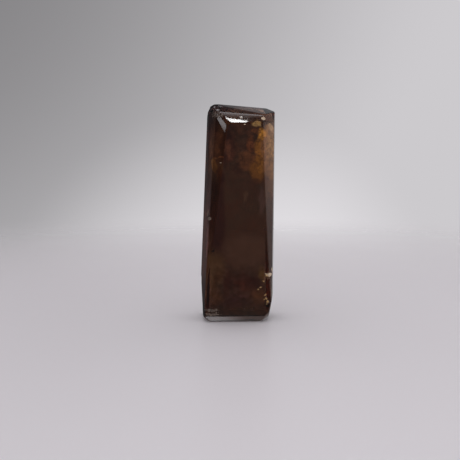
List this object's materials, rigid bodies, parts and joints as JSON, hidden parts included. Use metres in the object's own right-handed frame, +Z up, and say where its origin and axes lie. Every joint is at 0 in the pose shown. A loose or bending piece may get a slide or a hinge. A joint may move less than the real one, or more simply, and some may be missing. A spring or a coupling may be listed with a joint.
{
  "type": "dravite tourmaline crystal",
  "caption": "Polished, flattened prism of dark brown tourmaline, wider at the foot, with bevelled edges and a sloping head; it stands on its flat foot.",
  "frame": {"origin": "on the plane of the flat foot, under the middle of the crystal's box", "axes": "+Z up along the crystal's length, -Y out of the broad front face, +X to the right as seen from the front"},
  "size_m": [0.0112, 0.0072, 0.0323],
  "materials": {
    "crystal": "polished, dark brown and see-through, paler amber near the upper right corner"
  },
  "bodies": {
    "root": {"crystal": "crystal"}
  },
  "joints": []
}
